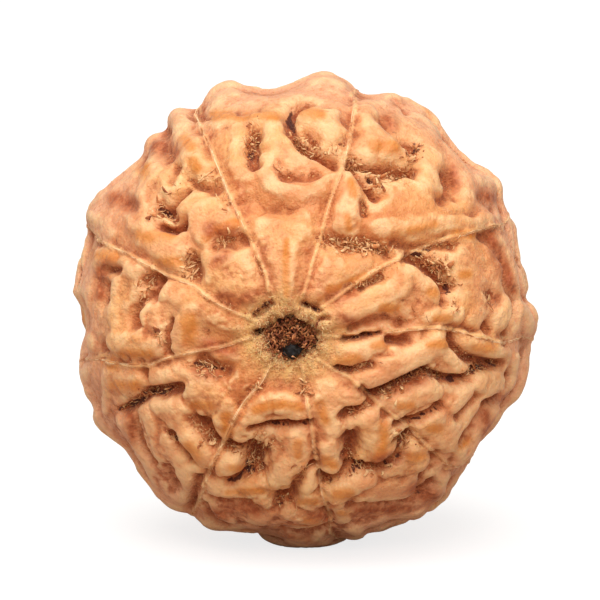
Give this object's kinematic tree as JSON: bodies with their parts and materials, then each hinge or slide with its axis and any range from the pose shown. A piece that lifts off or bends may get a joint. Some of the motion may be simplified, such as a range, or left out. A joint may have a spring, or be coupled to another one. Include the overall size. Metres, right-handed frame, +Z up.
{
  "type": "rudraksha seed",
  "caption": "Round ridged seed with knobbly lobes between fine seams, fibrous pits and a small stringing hole through its ends.",
  "frame": {"origin": "centre of the box's footprint, on the surface that the seed lies on", "axes": "+Z up; the seed's own axis, from stringing hole to stringing hole, runs along Y, with the shown end towards -Y"},
  "size_m": [0.0218, 0.0198, 0.0223],
  "materials": {
    "seed": "waxy tan husk, paler on the knobs, red-brown and fibrous in the pits, dusty yellow round the hole"
  },
  "bodies": {
    "root": {"seed": "seed"}
  },
  "joints": []
}
